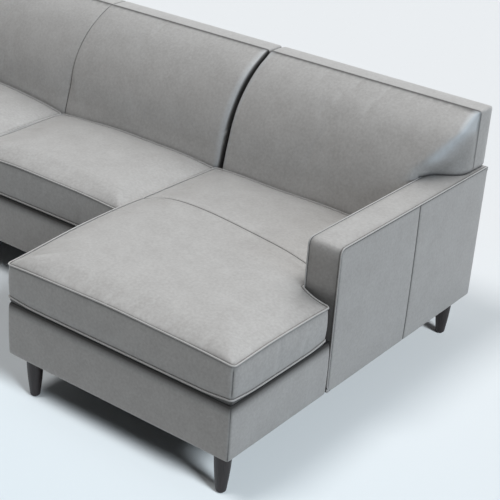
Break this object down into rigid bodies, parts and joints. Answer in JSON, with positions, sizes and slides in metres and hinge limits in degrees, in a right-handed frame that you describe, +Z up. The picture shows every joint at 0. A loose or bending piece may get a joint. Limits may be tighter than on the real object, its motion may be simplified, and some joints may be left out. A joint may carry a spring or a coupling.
{
  "type": "sectional sofa",
  "caption": "Leather sectional sofa with loose seat cushions, tight back, track arms, tapered legs and a chaise that hooks on to the sofa and lifts off.",
  "frame": {"origin": "on the floor, under the middle of the whole footprint's box", "axes": "+Z up, the seats face -Y, +X towards the chaise"},
  "size_m": [2.464, 1.362, 0.842],
  "materials": {
    "leather_cushions": "satin",
    "leather_back": "satin",
    "leather_panels": "satin",
    "leather_welts": "satin",
    "foam": "matte",
    "timber": "sawn",
    "deck_board": "board under black deck cloth",
    "leg_wood": "dark stain, satin lacquer",
    "glide_plastic": "matte",
    "steel": "zinc plated",
    "black_steel": "black powder coat",
    "webbing": "woven",
    "black_fabric": "non-woven"
  },
  "bodies": {
    "sofa": {"sofa_arm_band": "leather_panels", "sofa_arm_boards": "timber", "sofa_arm_frame": "timber", "sofa_arm_inside_panel": "leather_panels", "sofa_arm_outside_panels": "leather_panels", "sofa_back_band": "leather_panels", "sofa_back_cores": "foam", "sofa_back_pad_left": "leather_back", "sofa_back_pad_right": "leather_back", "sofa_back_posts": "timber", "sofa_back_rails": "timber", "sofa_back_webbing": "webbing", "sofa_borders": "leather_panels", "sofa_connector_sockets": "black_steel", "sofa_corner_blocks": "timber", "sofa_cross_rails": "timber", "sofa_deck": "deck_board", "sofa_dust_cover": "black_fabric", "sofa_glides": "glide_plastic", "sofa_leg_fixings": "steel", "sofa_legs": "leg_wood", "sofa_long_rails": "timber", "sofa_outside_back": "leather_panels", "sofa_seat_springs": "steel", "sofa_spring_clips": "steel"},
    "chaise": {"chaise_arm_band": "leather_panels", "chaise_arm_boards": "timber", "chaise_arm_frame": "timber", "chaise_arm_inside_panel": "leather_panels", "chaise_arm_outside_panels": "leather_panels", "chaise_back_band": "leather_panels", "chaise_back_cores": "foam", "chaise_back_pad": "leather_back", "chaise_back_posts": "timber", "chaise_back_rails": "timber", "chaise_back_webbing": "webbing", "chaise_borders": "leather_panels", "chaise_connector_hooks": "black_steel", "chaise_corner_blocks": "timber", "chaise_cross_rails": "timber", "chaise_deck": "deck_board", "chaise_dust_cover": "black_fabric", "chaise_glides": "glide_plastic", "chaise_leg_fixings": "steel", "chaise_legs": "leg_wood", "chaise_long_rails": "timber", "chaise_outside_back": "leather_panels", "chaise_seat_springs": "steel", "chaise_spring_clips": "steel"},
    "sofa_left_cushion": {"sofa_left_cushion_cover": "leather_cushions", "sofa_left_cushion_core": "foam", "sofa_left_cushion_welts": "leather_welts"},
    "sofa_right_cushion": {"sofa_right_cushion_cover": "leather_cushions", "sofa_right_cushion_core": "foam", "sofa_right_cushion_welts": "leather_welts"},
    "chaise_cushion": {"chaise_cushion_cover": "leather_cushions", "chaise_cushion_core": "foam", "chaise_cushion_welts": "leather_welts"}
  },
  "joints": [
    {"name": "sofa_left_cushion_lift", "type": "slide", "parent": "sofa", "child": "sofa_left_cushion", "axis": [0, 0, 1], "range_m": [0, 0.5]},
    {"name": "sofa_right_cushion_lift", "type": "slide", "parent": "sofa", "child": "sofa_right_cushion", "axis": [0, 0, 1], "range_m": [0, 0.5]},
    {"name": "chaise_lift_off", "type": "slide", "parent": "sofa", "child": "chaise", "axis": [0, 0, 1], "range_m": [0, 0.06]},
    {"name": "chaise_cushion_lift", "type": "slide", "parent": "chaise", "child": "chaise_cushion", "axis": [0, 0, 1], "range_m": [0, 0.5]}
  ]
}
